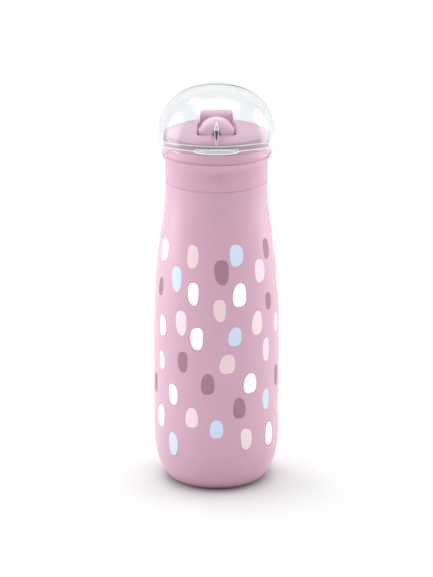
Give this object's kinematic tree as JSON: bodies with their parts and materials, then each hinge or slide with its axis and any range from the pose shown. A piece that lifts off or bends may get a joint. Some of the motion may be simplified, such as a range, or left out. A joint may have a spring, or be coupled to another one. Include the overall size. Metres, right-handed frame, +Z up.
{
  "type": "insulated toddler drinking bottle",
  "caption": "Double-walled steel bottle with rounded base and narrow shoulder, screw-on lid with flip spout and straw, under a hinged clear dome cover.",
  "frame": {"origin": "centre of the standing ring, on the surface the bottle stands on", "axes": "+Z up along the bottle, -Y to the front, where the spout and the cover's thumb tab face; +X to the right of someone who looks at the front"},
  "size_m": [0.0726, 0.0726, 0.2321],
  "materials": {
    "painted_steel": "satin powder coat with a soft pearl",
    "steel": "electropolished stainless",
    "getter_metal": "dull sintered pellet",
    "lid_plastic": "satin moulded polypropylene",
    "spout_plastic": "satin moulded polypropylene",
    "core_plastic": "natural white polypropylene",
    "straw_plastic": "milky extruded polypropylene",
    "mouth_silicone": "soft matt silicone",
    "seal_silicone": "translucent white silicone",
    "clear_plastic": "clear polished copolyester",
    "pin_steel": "drawn stainless wire"
  },
  "bodies": {
    "bottle": {"outer_shell": "painted_steel", "inner_shell": "steel", "base_cap": "steel", "getter_pellet": "getter_metal"},
    "lip_ring": {"lip_gasket": "seal_silicone"},
    "plug_ring": {"plug_seal": "seal_silicone"},
    "lid": {"lid_shell": "lid_plastic", "lid_core": "core_plastic", "straw": "straw_plastic", "vent_valve": "seal_silicone", "spout_seal": "seal_silicone", "cover_hinge_pin": "pin_steel"},
    "spout": {"spout_rocker": "spout_plastic", "mouthpiece": "mouth_silicone"},
    "cover": {"dome_cover": "clear_plastic"}
  },
  "joints": [
    {"name": "lid_lift", "type": "slide", "parent": "bottle", "child": "lip_ring", "axis": [0, 0, 1], "range_m": [0, 0.19]},
    {"name": "lid_rise", "type": "slide", "parent": "lip_ring", "child": "plug_ring", "axis": [0, 0, 1], "range_m": [0, 0.00601]},
    {"name": "lid_turn", "type": "hinge", "parent": "plug_ring", "child": "lid", "pos_m": [0, 0, 0.185], "axis": [0, 0, 1], "range_deg": [0, 540]},
    {"name": "cover_open", "type": "hinge", "parent": "lid", "child": "cover", "pos_m": [0, 0.033, 0.1938], "axis": [-1, 0, 0], "range_deg": [0, 120]},
    {"name": "spout_flip", "type": "hinge", "parent": "lid", "child": "spout", "pos_m": [0, 0.006, 0.203], "axis": [-1, 0, 0], "range_deg": [0, 90]}
  ],
  "couplings": [
    {"joint": "lid_rise", "follows": "lid_turn", "m_per_rad": 0.00063662}
  ]
}
